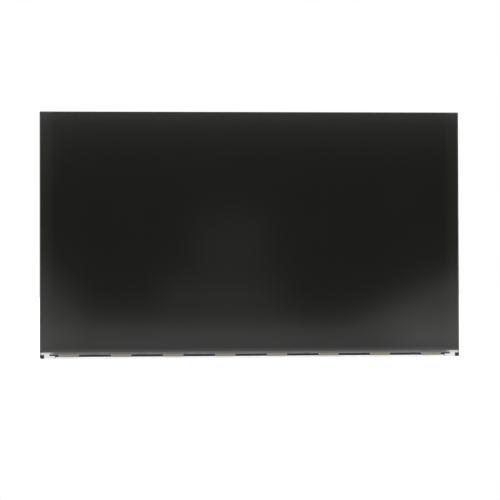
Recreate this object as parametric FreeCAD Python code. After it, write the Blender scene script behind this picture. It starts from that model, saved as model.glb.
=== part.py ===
import FreeCAD, Part
import math
import os

# LCD screen panel: a bare edge-lit display module with narrow borders, as it comes out of a desktop screen.
# Millimetres. +X is to the viewer's right, +Y runs from the screen to the back and +Z is up.
# The origin is the centre of the four rear fixing holes, on the plane of their raised pads.
# The middle of the active area lies on the Y axis.

# Active area and display cell
ACTIVE_WIDTH = 527.04
ACTIVE_HEIGHT = 296.46
SIDE_BORDER = 2.2             # from the active area to the glass edge, at the sides
TOP_BORDER = 1.4
CELL_FOOT = 5.8               # from the active area down to the edge of the front glass
BOND_LEDGE = 2.9              # strip of the rear glass that the front glass leaves bare
GLASS_THICKNESS = 0.5
GLASS_CHAMFER = 0.6
POLARIZER_THICKNESS = 0.22
POLARIZER_INSET = 0.25        # from the glass edge to the edge of the front polarizer
REAR_POLARIZER_MARGIN = 0.3   # past the active area, at the sides and the top
REAR_POLARIZER_FOOT = 4.0     # past the active area, at the bottom

# Mould frame
FRAME_WALL = 0.8
FRAME_FLOOR = 1.7             # bottom wall, which the driver films wrap round
FRAME_DROP = 3.2              # from the rear glass edge down to the underside of the frame
CELL_GAP = 0.3                # from the glass edge to the frame wall
EDGE_GAP = 0.15               # from the rear glass edge to the frame apron below it
RIM_SETBACK = 0.17            # front edge of the frame behind the screen face
FRAME_BACK_SETBACK = 0.4      # rear edge of the frame in front of the chassis back
SHELF_THICKNESS = 0.8
SHELF_MARGIN = 0.45           # from the active area to the edge of the shelf that carries the cell
FRAME_CORNER_RADIUS = 1.2
FOOT_WIDTH = 5.4
FOOT_DROP = 1.7               # corner feet below the underside of the frame
FOOT_RADIUS = 2.4
APRON_RADIUS = 1.3

# Snap tabs between the chassis and the frame
SNAP_LENGTH = 12.0
SNAP_HEIGHT = 1.5
SNAP_RISE = 0.6
SNAP_CLEARANCE = 0.3
SIDE_SNAPS = 3
TOP_SNAPS = 5

# Foam tape that holds the cell on the shelf
TAPE_THICKNESS = 0.5
TAPE_MARGIN = 0.1
BOTTOM_TAPE_HEIGHT = 3.0
BOTTOM_TAPE_RISE = 0.6        # from the rear glass edge up to the bottom tape

# Backlight
OPTICAL_SHEET = 0.26
SHEET_GAP = 0.3               # from the edge of a sheet to the chassis flange
SHEET_FOOT = 2.0              # lower edge of the sheets above the lower edge of the light guide
SHEET_PLAY = 0.12
GUIDE_THICKNESS = 2.5
GUIDE_GAP = 0.1               # from the edge of the light guide to the bends of the chassis
REFLECTOR_THICKNESS = 0.25
LED_COUNT = 52
LED_LENGTH = 4.0
LED_DEPTH = 1.6
LED_HEIGHT = 0.8
LED_GAP = 0.2                 # from the lamps to the light guide
LED_END_MARGIN = 18.7         # from the end of the active area to the middle of the last lamp
LED_BOARD_THICKNESS = 0.8
LED_BOARD_DEPTH = 3.3
LED_BOARD_GAP = 0.1           # from the lamp board to the bends of the chassis
THERMAL_TAPE = 0.15

# Pressed steel chassis
METAL_THICKNESS = 0.7
CHASSIS_GAP = 0.1             # from the chassis to the frame, all round
FLANGE_GAP = 0.1              # from the flanges to the shelf
INNER_BEND_RADIUS = 0.2
CORNER_RELIEF = 3.0
EMBOSS_HEIGHT = 1.0           # also the run of its slopes
BEAD_LENGTH = 110.0
BEAD_WIDTH = 14.0
BEAD_COUNT = 2
BEAD_PITCH = 54.0
BEAD_EDGE = 20.0              # from the end of a bead to the side of the chassis
RING_WIDTH = 236.0            # embossed ring in the middle of the back
RING_HEIGHT = 186.0
RING_BAND = 24.0
RING_RADIUS = 16.0
RING_LIFT = 18.0              # middle of the ring above the middle of the screen

# Rear fixing holes, tapped M3 in raised pads
MOUNT_SPACING_X = 400.0
MOUNT_SPACING_Z = 160.0
PAD_HEIGHT = 1.6
PAD_RADIUS = 8.0
PAD_SLOPE = 2.0
TAP_RADIUS = 1.25
BURR_WALL = 0.8
BURR_LENGTH = 0.9

# Driver films and their chips
FILM_COUNT = 8
FILM_WIDTH = 25.4
FILM_THICKNESS = 0.12
FILM_BOND = 2.3               # overlap on the bare ledge of the rear glass
FILM_BEND = 1.4
FILM_CLEARANCE = 0.12         # from the film to the underside of the frame
FILM_APRON_GAP = 0.2          # from the film to the apron behind it
FILM_BOARD_OVERLAP = 2.2
CHIP_LENGTH = 21.0
CHIP_WIDTH = 1.3
CHIP_THICKNESS = 0.45
CHIP_DROP = 1.0               # below the edge of the source board

# Source board and what it carries
BOARD_THICKNESS = 1.0
BOARD_STANDOFF = 1.0
BOARD_RISE = 4.2              # lower edge above the underside of the frame
BOARD_END = 2.5               # past the outer films
BOARD_HEIGHT = 14.5
BOARD_BULGE_WIDTH = 150.0
BOARD_BULGE_HEIGHT = 30.0
BOARD_CORNER = 2.0
INSULATOR_THICKNESS = 0.1
INSULATOR_MARGIN = 0.6
SCREW_EDGE = 5.0              # from the board edges to the screws
SCREW_HEAD_RADIUS = 2.0
SCREW_HEAD_HEIGHT = 0.9
SCREW_SHANK_RADIUS = 0.8
SCREW_LENGTH = 2.5
SCREW_HOLE_GAP = 0.3
SCREW_THREAD_GAP = 0.05
SCREW_SLOT_LENGTH = 2.3
SCREW_SLOT_WIDTH = 0.5
SCREW_SLOT_DEPTH = 0.4
BOSS_SIZE = 8.0               # foot of a board boss, which slopes in by its height
CONTROLLER_SIZE = 12.0
CONTROLLER_HEIGHT = 0.9
CONTROLLER_X = -14.0
POWER_CHIP_SIZE = 6.0
POWER_CHIP_HEIGHT = 0.85
POWER_CHIP_X = -42.0
SMALL_CHIP_SIZE = 5.0
SMALL_CHIP_HEIGHT = 0.8
GAMMA_CHIP_X = 8.0
MEMORY_CHIP_X = 20.0
LEVEL_CHIP_X = 56.0
CHIP_CHAMFER = 0.15           # round the rear face of the moulded chips
INDUCTOR_SIZE = 5.2
INDUCTOR_HEIGHT = 1.8
INDUCTOR_RADIUS = 1.2
INDUCTOR_X = -54.0
PARTS_LIFT = 19.0             # middle of the large parts above the lower edge of the board
CAPACITOR_LENGTH = 1.6
CAPACITOR_WIDTH = 0.8
CAPACITOR_HEIGHT = 0.8
CAPACITOR_LIFT = 6.5
CAPACITOR_PITCH = 4.5
CAPACITORS_PER_FILM = 4
RESISTOR_LENGTH = 1.6
RESISTOR_WIDTH = 0.8
RESISTOR_HEIGHT = 0.45
RESISTOR_LIFT = 10.3          # row across the bulge above the lower edge of the board
RESISTOR_COUNT = 14
RESISTOR_PITCH = 9.0
GAP_RESISTOR_COUNT = 3        # between two films
GAP_RESISTOR_PITCH = 3.0

# Sockets
SIGNAL_PIN_COUNT = 30
SIGNAL_PIN_PITCH = 0.5
SIGNAL_X = 36.0
LED_PIN_COUNT = 6
LED_PIN_PITCH = 1.25
PIN_WIDTH = 0.2
PIN_THICKNESS = 0.15
SOCKET_WALL = 0.7
SOCKET_END = 2.2              # from the outer pin to the end of the socket
SOCKET_DEPTH = 4.6
SOCKET_FLOOR = 1.2
SOCKET_CAVITY = 1.0
SHELL_THICKNESS = 0.2
SHELL_SETBACK = 0.6           # shell behind the mouth of the socket
SOCKET_EDGE = 1.0             # mouth of the signal socket below the top of the board

# Flexible tail of the lamp board
TAIL_WIDTH = 11.0
TAIL_THICKNESS = 0.15
TAIL_EDGE = 4.0               # from the tail to the chassis flange
TAIL_BEND = 0.8
TAIL_LAP = 2.0                # overlap on the lamp board
TAIL_LIFT = 22.0              # length up the back of the chassis
TAIL_GAP = 0.1                # from the tail to the chassis back
TAIL_SLOT_GAP = 0.5

# White corner clips
CLIP_LENGTH = 13.2
CLIP_LIP_LENGTH = 12.7
CLIP_WEB_INSET = 0.7          # inner end of the web behind the inner end of the lip
CLIP_TOE_RISE = 1.6           # front of the foot above the underside of the frame
CLIP_LIP_GAP = 0.1            # from the lip to the rear glass and to the notch in the frame wall
CLIP_EDGE_GAP = 0.12          # from the lip to the front glass
CLIP_FOOT_GAP = 0.1           # from the clip to the corner foot
CLIP_DEPTH = 5.3
CLIP_RADIUS = 0.5
PEG_RADIUS = 0.9
PEG_HEIGHT = 1.1
PEG_CLEARANCE = 0.1
PEG_INSET = 8.0               # from the corner foot to the middle of the peg

# Depths, from the pads at the back to the screen face
pad_plane = 0.0
chassis_back = pad_plane - PAD_HEIGHT
chassis_inside = chassis_back - METAL_THICKNESS
reflector_front = chassis_inside - REFLECTOR_THICKNESS
guide_front = reflector_front - GUIDE_THICKNESS
lower_diffuser_front = guide_front - OPTICAL_SHEET
prism_front = lower_diffuser_front - OPTICAL_SHEET
upper_diffuser_front = prism_front - OPTICAL_SHEET
shelf_back = upper_diffuser_front - SHEET_PLAY
shelf_front = shelf_back - SHELF_THICKNESS
array_back = shelf_front - TAPE_THICKNESS
array_front = array_back - GLASS_THICKNESS
filter_front = array_front - GLASS_THICKNESS
screen_face = filter_front - POLARIZER_THICKNESS
rim_front = screen_face + RIM_SETBACK
lip_back = array_front - CLIP_LIP_GAP
apron_front = array_front + FILM_APRON_GAP
frame_back = chassis_back - FRAME_BACK_SETBACK
flange_front = shelf_back + FLANGE_GAP
board_front = chassis_back + BOARD_STANDOFF
board_back = board_front + BOARD_THICKNESS

# Half widths, from the active area outwards
active_x = ACTIVE_WIDTH / 2
glass_x = active_x + SIDE_BORDER
rim_inner_x = glass_x + CELL_GAP
outer_x = rim_inner_x + FRAME_WALL
shelf_x = active_x + SHELF_MARGIN
chassis_x = rim_inner_x - CHASSIS_GAP
flange_x = chassis_x - METAL_THICKNESS
guide_x = flange_x - INNER_BEND_RADIUS - GUIDE_GAP
foot_x = outer_x - FOOT_WIDTH
film_pitch = ACTIVE_WIDTH / FILM_COUNT
board_x = film_pitch * (FILM_COUNT - 1) / 2 + FILM_WIDTH / 2 + BOARD_END

# Heights above the middle of the active area
active_z = ACTIVE_HEIGHT / 2
glass_top = active_z + TOP_BORDER
rim_inner_top = glass_top + CELL_GAP
outer_top = rim_inner_top + FRAME_WALL
shelf_top = active_z + SHELF_MARGIN
chassis_top = rim_inner_top - CHASSIS_GAP
flange_top = chassis_top - METAL_THICKNESS
guide_top = flange_top - INNER_BEND_RADIUS - GUIDE_GAP

# Heights below it
shelf_bottom = -active_z - SHELF_MARGIN
filter_bottom = -active_z - CELL_FOOT
array_bottom = filter_bottom - BOND_LEDGE
lip_top = filter_bottom - CLIP_EDGE_GAP
apron_top = array_bottom - EDGE_GAP
frame_bottom = array_bottom - FRAME_DROP
foot_bottom = frame_bottom - FOOT_DROP
frame_floor = frame_bottom + FRAME_FLOOR
chassis_bottom = frame_floor + CHASSIS_GAP
flange_bottom = chassis_bottom + METAL_THICKNESS
led_board_bottom = flange_bottom + THERMAL_TAPE
led_board_top = led_board_bottom + LED_BOARD_THICKNESS
led_top = led_board_top + LED_HEIGHT
guide_bottom = led_top + LED_GAP
board_bottom = frame_bottom + BOARD_RISE
board_top = board_bottom + BOARD_BULGE_HEIGHT

OVERSHOOT = 1.0               # how far a cutting tool runs past the face that it opens
TOUCH = 1e-4                  # two coordinates this close are the same


def vec(x, y, z):
    return FreeCAD.Vector(x, y, z)


def block(x0, x1, y0, y1, z0, z1):
    """A box between two corners."""
    return Part.makeBox(x1 - x0, y1 - y0, z1 - z0, vec(x0, y0, z0))


def centred(x, z, width, height, y0, y1):
    """A box round a point of the back, between two depths."""
    return block(x - width / 2, x + width / 2, y0, y1, z - height / 2, z + height / 2)


def rod(x, z, radius, y0, y1):
    """A cylinder along Y."""
    return Part.makeCylinder(radius, y1 - y0, vec(x, y0, z), vec(0, 1, 0))


def edges_where(shape, **limits):
    """Edges that lie at the given coordinates: x=, y= and z= name a plane."""
    def lies(edge):
        box = edge.BoundBox
        low = {"x": box.XMin, "y": box.YMin, "z": box.ZMin}
        high = {"x": box.XMax, "y": box.YMax, "z": box.ZMax}
        return all(abs(low[k] - v) < TOUCH and abs(high[k] - v) < TOUCH for k, v in limits.items())
    return [edge for edge in shape.Edges if lies(edge)]


def rounded_prism(x, z, width, height, radius, y0, y1):
    """A plate with round corners, between two depths."""
    plate = centred(x, z, width, height, y0, y1)
    corners = []
    for side in (-1, 1):
        for level in (-1, 1):
            corners += edges_where(plate, x=x + side * width / 2, z=z + level * height / 2)
    return plate.makeFillet(radius, corners)


def bent_sheet(path, radius, thickness, x0, x1):
    """A strip that follows a path of (y, z) points, which gives its inner face. Every bend turns left."""
    def face_edges(offset):
        points = [vec(0, y, z) for y, z in path]
        starts = []
        ends = []
        arcs = []
        for before, corner, after in zip(points, points[1:], points[2:]):
            into = (corner - before).normalize()
            out = (after - corner).normalize()
            half_turn = into.getAngle(out) / 2
            centre = corner - into * radius * math.tan(half_turn) + left_of(into) * radius
            first = centre - left_of(into) * (radius + offset)
            last = centre - left_of(out) * (radius + offset)
            middle = centre - (left_of(into) + left_of(out)).normalize() * (radius + offset)
            arcs.append(Part.Arc(first, middle, last).toShape())
            ends.append(first)
            starts.append(last)
        first_run = (points[1] - points[0]).normalize()
        last_run = (points[-1] - points[-2]).normalize()
        starts.insert(0, points[0] - left_of(first_run) * offset)
        ends.append(points[-1] - left_of(last_run) * offset)
        runs = [Part.LineSegment(a, b).toShape() for a, b in zip(starts, ends)]
        edges = [runs[0]]
        for arc, run in zip(arcs, runs[1:]):
            edges += [arc, run]
        return edges, starts[0], ends[-1]

    def left_of(direction):
        return vec(0, -direction.z, direction.y)

    inner, inner_start, inner_end = face_edges(0.0)
    outer, outer_start, outer_end = face_edges(thickness)
    last_cap = Part.LineSegment(inner_end, outer_end).toShape()
    first_cap = Part.LineSegment(outer_start, inner_start).toShape()
    outline = Part.Wire(inner + [last_cap] + outer[::-1] + [first_cap])
    strip = Part.Face(outline).extrude(vec(x1 - x0, 0, 0))
    strip.translate(vec(x0, 0, 0))
    return strip


def spread(count, pitch):
    """Positions of a row that is centred on zero."""
    return [(i - (count - 1) / 2) * pitch for i in range(count)]


# Display cell

def glass_plate(bottom, y0, y1):
    """A glass plate with its four corners nipped."""
    plate = block(-glass_x, glass_x, y0, y1, bottom, glass_top)
    corners = []
    for side in (-glass_x, glass_x):
        for level in (bottom, glass_top):
            corners += edges_where(plate, x=side, z=level)
    return plate.makeChamfer(GLASS_CHAMFER, corners)


def front_polarizer():
    edge = glass_x - POLARIZER_INSET
    low = filter_bottom + POLARIZER_INSET
    return block(-edge, edge, screen_face, filter_front, low, glass_top - POLARIZER_INSET)


def rear_polarizer():
    edge = active_x + REAR_POLARIZER_MARGIN
    top = active_z + REAR_POLARIZER_MARGIN
    back = array_back + POLARIZER_THICKNESS
    return block(-edge, edge, array_back, back, -active_z - REAR_POLARIZER_FOOT, top)


def panel_tapes():
    """Four strips of foam tape between the rear glass and the shelf."""
    inner_x = shelf_x + TAPE_MARGIN
    edge_x = glass_x - TAPE_MARGIN
    inner_z = shelf_top + TAPE_MARGIN
    edge_z = glass_top - TAPE_MARGIN
    low = array_bottom + BOTTOM_TAPE_RISE
    high = low + BOTTOM_TAPE_HEIGHT
    side_low = high + TAPE_MARGIN
    side_high = inner_z - TAPE_MARGIN
    end_x = edge_x - GLASS_CHAMFER
    return {
        "panel_tape_top": block(-end_x, end_x, array_back, shelf_front, inner_z, edge_z),
        "panel_tape_bottom": block(-edge_x, edge_x, array_back, shelf_front, low, high),
        "panel_tape_left": block(-edge_x, -inner_x, array_back, shelf_front, side_low, side_high),
        "panel_tape_right": block(inner_x, edge_x, array_back, shelf_front, side_low, side_high),
    }


# Mould frame

def side_snap_heights():
    pitch = (chassis_top - chassis_bottom) / (SIDE_SNAPS + 1)
    middle = (chassis_top + chassis_bottom) / 2
    return [middle + z for z in spread(SIDE_SNAPS, pitch)]


def top_snap_places():
    return spread(TOP_SNAPS, 2 * chassis_x / (TOP_SNAPS + 1))


def snap_depths(clearance):
    """Front and rear of a snap tab, or of its window when a clearance is given."""
    middle = (flange_front + frame_back) / 2
    half = SNAP_HEIGHT / 2 + clearance
    return middle - half, middle + half


def snaps(clearance, inside_x, outside_x, inside_z, outside_z):
    """Boxes for the snap tabs, or for the windows that take them."""
    y0, y1 = snap_depths(clearance)
    half = SNAP_LENGTH / 2 + clearance
    boxes = []
    for z in side_snap_heights():
        boxes.append(block(-outside_x, -inside_x, y0, y1, z - half, z + half))
        boxes.append(block(inside_x, outside_x, y0, y1, z - half, z + half))
    for x in top_snap_places():
        boxes.append(block(x - half, x + half, y0, y1, inside_z, outside_z))
    return boxes


def peg_place(side):
    return side * (foot_x - PEG_INSET), apron_front + CLIP_DEPTH / 2


def mould_frame():
    """One black moulding: a rim notched for the clips, a shelf behind the cell, a bottom wall and feet."""
    body = block(-outer_x, outer_x, rim_front, frame_back, frame_bottom, outer_top)
    feet = [
        block(-outer_x, -foot_x, rim_front, frame_back, foot_bottom, apron_top),
        block(foot_x, outer_x, rim_front, frame_back, foot_bottom, apron_top),
    ]
    front = rim_front - OVERSHOOT
    back = frame_back + OVERSHOOT
    cell_pocket = block(-rim_inner_x, rim_inner_x, front, shelf_front, apron_top, rim_inner_top)
    apron_cut = block(-foot_x, foot_x, front, apron_front, frame_bottom - OVERSHOOT, apron_top)
    light_window = block(-shelf_x, shelf_x, front, back, shelf_bottom, shelf_top)
    rear_cavity = block(-rim_inner_x, rim_inner_x, shelf_back, back, frame_floor, rim_inner_top)
    windows = snaps(SNAP_CLEARANCE, rim_inner_x - OVERSHOOT, outer_x + OVERSHOOT,
                    rim_inner_top - OVERSHOOT, outer_top + OVERSHOOT)
    frame = body.cut([cell_pocket, apron_cut]).fuse(feet).cut([light_window, rear_cavity])
    frame = frame.removeSplitter()
    frame = frame.makeFillet(FRAME_CORNER_RADIUS, edges_where(frame, x=-outer_x, z=outer_top)
                             + edges_where(frame, x=outer_x, z=outer_top))
    frame = frame.makeFillet(FOOT_RADIUS, edges_where(frame, x=-outer_x, z=foot_bottom)
                             + edges_where(frame, x=outer_x, z=foot_bottom))
    frame = frame.makeFillet(APRON_RADIUS, edges_where(frame, y=apron_front, z=frame_bottom))
    clip_seats = []
    for side in (-1, 1):
        x, y = peg_place(side)
        clip_seats.append(Part.makeCylinder(PEG_RADIUS + PEG_CLEARANCE, PEG_HEIGHT + PEG_CLEARANCE,
                                            vec(x, y, frame_bottom)))
        wall_middle = side * (rim_inner_x + outer_x) / 2
        half = FRAME_WALL / 2 + OVERSHOOT
        clip_seats.append(block(wall_middle - half, wall_middle + half, front, lip_back + CLIP_LIP_GAP,
                                apron_top, lip_top + CLIP_LIP_GAP))
    return frame.cut(windows + clip_seats)


def corner_clip(side):
    """White clip at a bottom corner: a lip over the bare ledge, a web below it and a foot under the frame."""
    foot_edge = foot_x - CLIP_FOOT_GAP
    lip_start = outer_x - CLIP_LIP_LENGTH
    web_back = apron_front - CLIP_LIP_GAP
    lip = block(lip_start, outer_x, rim_front, lip_back, apron_top, lip_top)
    web = block(lip_start + CLIP_WEB_INSET, foot_edge, rim_front, web_back, frame_bottom, apron_top)
    foot_start = foot_edge - CLIP_LENGTH
    foot_back = apron_front + CLIP_DEPTH
    foot = block(foot_start, foot_edge, rim_front, foot_back, foot_bottom, frame_bottom)
    toe = block(foot_start, foot_edge, rim_front, web_back, frame_bottom, frame_bottom + CLIP_TOE_RISE)
    clip = foot.fuse([lip, web, toe]).removeSplitter()
    rounded = edges_where(clip, x=foot_start, z=foot_bottom) + edges_where(clip, x=lip_start, z=lip_top)
    clip = clip.makeFillet(CLIP_RADIUS, rounded)
    if side < 0:
        clip = clip.mirror(vec(0, 0, 0), vec(1, 0, 0))
    x, y = peg_place(side)
    return clip.fuse(Part.makeCylinder(PEG_RADIUS, PEG_HEIGHT, vec(x, y, frame_bottom)))


# Backlight

def optical_sheet(y0, y1):
    edge = flange_x - SHEET_GAP
    return block(-edge, edge, y0, y1, guide_bottom + SHEET_FOOT, flange_top - SHEET_GAP)


def light_guide():
    return block(-guide_x, guide_x, guide_front, reflector_front, guide_bottom, guide_top)


def reflector():
    return block(-guide_x, guide_x, reflector_front, chassis_inside, led_top, guide_top)


def led_board_span():
    """Depths of the lamp board, whose rear edge stands clear of the bend of the chassis."""
    back = chassis_inside - INNER_BEND_RADIUS - LED_BOARD_GAP
    return back - LED_BOARD_DEPTH, back


def led_board():
    y0, y1 = led_board_span()
    edge = flange_x - LED_BOARD_GAP
    return block(-edge, edge, y0, y1, led_board_bottom, led_board_top)


def led_thermal_tape():
    y0, y1 = led_board_span()
    edge = flange_x - LED_BOARD_GAP
    return block(-edge, edge, y0, y1, flange_bottom, led_board_bottom)


def led_chips():
    middle = (guide_front + reflector_front) / 2
    pitch = (ACTIVE_WIDTH - 2 * LED_END_MARGIN) / (LED_COUNT - 1)
    lamps = []
    for x in spread(LED_COUNT, pitch):
        lamps.append(block(x - LED_LENGTH / 2, x + LED_LENGTH / 2, middle - LED_DEPTH / 2,
                           middle + LED_DEPTH / 2, led_board_top, led_top))
    return Part.makeCompound(lamps)


def tail_sides():
    right = flange_x - TAIL_EDGE
    return right - TAIL_WIDTH, right


def tail_path():
    """Upper face of the tail on the lamp board, out through the chassis, then its front face up the back."""
    front = led_board_span()[1] - TAIL_LAP
    level = led_board_top + TAIL_THICKNESS
    back = chassis_back + TAIL_GAP
    return [(front, level), (back, level), (back, led_board_top + TAIL_LIFT)]


def led_flex_tail():
    x0, x1 = tail_sides()
    return bent_sheet(tail_path(), TAIL_BEND, TAIL_THICKNESS, x0, x1)


# Chassis

def emboss(plate, height):
    """A plate that stands in the sheet and out of it, with its rear edges sloped down to the sheet."""
    return plate.makeChamfer(height, edges_where(plate, y=chassis_back + height))


def embossed_fields():
    """The ring in the middle of the back and the beads at each side, between the fixing pads."""
    foot = chassis_back - METAL_THICKNESS / 2
    top = chassis_back + EMBOSS_HEIGHT
    ring = rounded_prism(0, RING_LIFT, RING_WIDTH, RING_HEIGHT, RING_RADIUS, foot, top)
    inner_radius = RING_RADIUS - RING_BAND / 2
    ring = ring.cut(rounded_prism(0, RING_LIFT, RING_WIDTH - 2 * RING_BAND, RING_HEIGHT - 2 * RING_BAND,
                                  inner_radius, foot, top))
    fields = [emboss(ring, EMBOSS_HEIGHT)]
    bead_x = chassis_x - BEAD_EDGE - BEAD_LENGTH / 2
    for z in spread(BEAD_COUNT, BEAD_PITCH):
        for side in (-1, 1):
            fields.append(emboss(bead(side * bead_x, z, foot, top), EMBOSS_HEIGHT))
    return fields


def bead(x, z, y0, y1):
    """A bar with half-round ends."""
    reach = (BEAD_LENGTH - BEAD_WIDTH) / 2
    bar = centred(x, z, 2 * reach, BEAD_WIDTH, y0, y1)
    ends = [rod(x + side * reach, z, BEAD_WIDTH / 2, y0, y1) for side in (-1, 1)]
    return bar.fuse(ends).removeSplitter()


def fixing_pad(x, z):
    """A round pressed pad: a cone that narrows towards the back."""
    foot = vec(x, chassis_back, z)
    return Part.makeCone(PAD_RADIUS + PAD_SLOPE, PAD_RADIUS, PAD_HEIGHT, foot, vec(0, 1, 0))


def board_boss(x, z):
    """A square pressed boss that carries the source board."""
    foot = chassis_back - METAL_THICKNESS / 2
    return emboss(centred(x, z, BOSS_SIZE, BOSS_SIZE, foot, board_front), BOARD_STANDOFF)


def mount_places():
    return [(x, z) for x in (-MOUNT_SPACING_X / 2, MOUNT_SPACING_X / 2)
            for z in (-MOUNT_SPACING_Z / 2, MOUNT_SPACING_Z / 2)]


def screw_places():
    """Screws at the ends of the source board and in the corners of its bulge."""
    wing = (board_x - SCREW_EDGE, board_bottom + BOARD_HEIGHT - SCREW_EDGE)
    bulge = (BOARD_BULGE_WIDTH / 2 - SCREW_EDGE, board_top - SCREW_EDGE)
    return [(side * x, z) for side in (-1, 1) for x, z in (wing, bulge)]


def chassis_tray():
    """A folded tray with rounded bends and open corners."""
    outer = block(-chassis_x, chassis_x, flange_front, chassis_back, chassis_bottom, chassis_top)
    outer = outer.makeFillet(INNER_BEND_RADIUS + METAL_THICKNESS, edges_where(outer, y=chassis_back))
    inner = block(-flange_x, flange_x, flange_front - OVERSHOOT, chassis_inside, flange_bottom, flange_top)
    inner = inner.makeFillet(INNER_BEND_RADIUS, edges_where(inner, y=chassis_inside))
    corner_back = chassis_inside - INNER_BEND_RADIUS - METAL_THICKNESS
    reliefs = []
    for x in (-chassis_x, chassis_x):
        for z in (chassis_bottom, chassis_top):
            reliefs.append(centred(x, z, 2 * CORNER_RELIEF, 2 * CORNER_RELIEF, flange_front, corner_back))
    return outer.cut([inner] + reliefs)


def rear_chassis():
    """Pressed steel back: tray, embossing, fixing pads with tapped holes, board bosses and snap tabs."""
    pads = [fixing_pad(x, z) for x, z in mount_places()]
    bosses = [board_boss(x, z) for x, z in screw_places()]
    raised = embossed_fields() + pads + bosses
    hollows = []
    for field in raised:
        hollow = field.copy()
        hollow.translate(vec(0, -METAL_THICKNESS, 0))
        hollows.append(hollow)
    tabs = snaps(0.0, flange_x, chassis_x + SNAP_RISE, flange_top, chassis_top + SNAP_RISE)
    burr_front = pad_plane - METAL_THICKNESS - BURR_LENGTH
    burr_back = pad_plane - METAL_THICKNESS / 2
    burrs = [rod(x, z, TAP_RADIUS + BURR_WALL, burr_front, burr_back) for x, z in mount_places()]
    holes = [rod(x, z, TAP_RADIUS, burr_front - OVERSHOOT, pad_plane + OVERSHOOT) for x, z in mount_places()]
    boss_hole = SCREW_SHANK_RADIUS + SCREW_THREAD_GAP
    holes += [rod(x, z, boss_hole, chassis_inside, board_front + OVERSHOOT) for x, z in screw_places()]
    x0, x1 = tail_sides()
    slot_low = led_board_top - TAIL_SLOT_GAP
    slot_high = led_board_top + TAIL_THICKNESS + TAIL_BEND + TAIL_SLOT_GAP
    slot = block(x0 - TAIL_SLOT_GAP, x1 + TAIL_SLOT_GAP, chassis_inside - OVERSHOOT, chassis_back + OVERSHOOT,
                 slot_low, slot_high)
    shell = chassis_tray().fuse(raised).cut(hollows)
    return shell.fuse(tabs + burrs).cut(holes + [slot]).removeSplitter()


# Driver films

def film_places():
    return spread(FILM_COUNT, film_pitch)


def driver_film(x):
    """Bonded on the glass ledge, down past the apron, under the frame and up to the source board."""
    level = frame_bottom - FILM_CLEARANCE
    path = [(array_front, array_bottom + FILM_BOND), (array_front, level),
            (board_back, level), (board_back, board_bottom + FILM_BOARD_OVERLAP)]
    return bent_sheet(path, FILM_BEND, FILM_THICKNESS, x - FILM_WIDTH / 2, x + FILM_WIDTH / 2)


def driver_chip(x):
    top = board_bottom - CHIP_DROP
    return block(x - CHIP_LENGTH / 2, x + CHIP_LENGTH / 2, board_back - CHIP_THICKNESS, board_back,
                 top - CHIP_WIDTH, top)


# Source board

def source_board():
    """A long strip along the films, with a taller bulge in the middle and holes for the screws."""
    def strip(length, height):
        middle = board_bottom + height / 2
        return rounded_prism(0, middle, length, height, BOARD_CORNER, board_front, board_back)

    wings = strip(2 * board_x, BOARD_HEIGHT)
    plate = wings.fuse(strip(BOARD_BULGE_WIDTH, BOARD_BULGE_HEIGHT)).removeSplitter()
    hole = SCREW_SHANK_RADIUS + SCREW_HOLE_GAP
    return plate.cut([rod(x, z, hole, board_front, board_back) for x, z in screw_places()])


def board_insulator():
    """Thin strip on the chassis behind the films' end of the board, below its bosses."""
    edge = board_x - INSULATOR_MARGIN
    low = board_bottom + INSULATOR_MARGIN
    high = board_bottom + BOARD_HEIGHT - SCREW_EDGE - BOSS_SIZE / 2 - INSULATOR_MARGIN
    return block(-edge, edge, chassis_back, chassis_back + INSULATOR_THICKNESS, low, high)


def board_screw(x, z):
    """Pan head screw with a cross recess."""
    head_back = board_back + SCREW_HEAD_HEIGHT
    head = rod(x, z, SCREW_HEAD_RADIUS, board_back, head_back)
    shank = rod(x, z, SCREW_SHANK_RADIUS, board_back - SCREW_LENGTH, board_back)
    floor = head_back - SCREW_SLOT_DEPTH
    slots = [
        centred(x, z, SCREW_SLOT_LENGTH, SCREW_SLOT_WIDTH, floor, head_back + OVERSHOOT),
        centred(x, z, SCREW_SLOT_WIDTH, SCREW_SLOT_LENGTH, floor, head_back + OVERSHOOT),
    ]
    return head.fuse(shank).cut(slots)


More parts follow.
